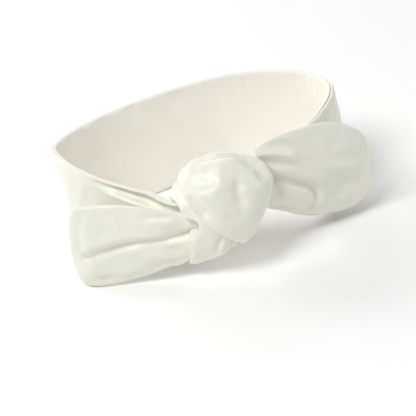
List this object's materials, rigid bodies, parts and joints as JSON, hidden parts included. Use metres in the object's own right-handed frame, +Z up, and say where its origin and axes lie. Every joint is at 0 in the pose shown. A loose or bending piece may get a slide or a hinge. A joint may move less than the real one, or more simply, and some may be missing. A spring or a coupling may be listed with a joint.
{
  "type": "knotted headband",
  "caption": "Soft satin head ring, a padded two-ply cloth tube tied in a puffed front knot with short rounded tails that swing and lift.",
  "frame": {"origin": "middle of the object's box, at the height of the surface that the band's bottom rim stands on", "axes": "+Z up along the band's height, -Y towards the knot at the front, +X to the right of someone who faces the knot"},
  "size_m": [0.2099, 0.1662, 0.078],
  "materials": {
    "outer_satin": "soft ivory satin",
    "inner_lining": "matte cream lining",
    "interlining": "soft white felted interlining",
    "sewing_thread": "ivory sewing thread"
  },
  "bodies": {
    "headband": {"band_outer_ply": "outer_satin", "band_inner_ply": "inner_lining", "band_interlining": "interlining", "band_top_seam": "outer_satin", "band_bottom_seam": "outer_satin", "turning_gap_stitches": "sewing_thread", "left_leg_gather": "outer_satin", "right_leg_gather": "outer_satin", "knot_core": "interlining", "knot_under_wrap": "outer_satin", "knot_over_wrap": "outer_satin"},
    "left_neck": {"left_tail_neck": "outer_satin"},
    "left_tail": {"left_tail_front_ply": "outer_satin", "left_tail_back_ply": "outer_satin", "left_tail_interlining": "interlining", "left_tail_edge_seam": "outer_satin"},
    "right_neck": {"right_tail_neck": "outer_satin"},
    "right_tail": {"right_tail_front_ply": "outer_satin", "right_tail_back_ply": "outer_satin", "right_tail_interlining": "interlining", "right_tail_edge_seam": "outer_satin"}
  },
  "joints": [
    {"name": "left_tail_swing", "type": "hinge", "parent": "headband", "child": "left_neck", "pos_m": [-0.0315, -0.066, 0.0293], "axis": [0, 0, 1], "range_deg": [-22, 45], "stiffness_Nm_per_rad": 0.02},
    {"name": "left_tail_lift", "type": "hinge", "parent": "left_neck", "child": "left_tail", "pos_m": [-0.0315, -0.066, 0.0293], "axis": [0.2419, 0.9703, 0], "range_deg": [0, 35], "stiffness_Nm_per_rad": 0.02},
    {"name": "right_tail_swing", "type": "hinge", "parent": "headband", "child": "right_neck", "pos_m": [0.0374, -0.051, 0.044], "axis": [0, 0, 1], "range_deg": [-45, 10], "stiffness_Nm_per_rad": 0.02},
    {"name": "right_tail_lift", "type": "hinge", "parent": "right_neck", "child": "right_tail", "pos_m": [0.0374, -0.051, 0.044], "axis": [0.309, -0.9511, 0], "range_deg": [0, 35], "stiffness_Nm_per_rad": 0.02}
  ]
}
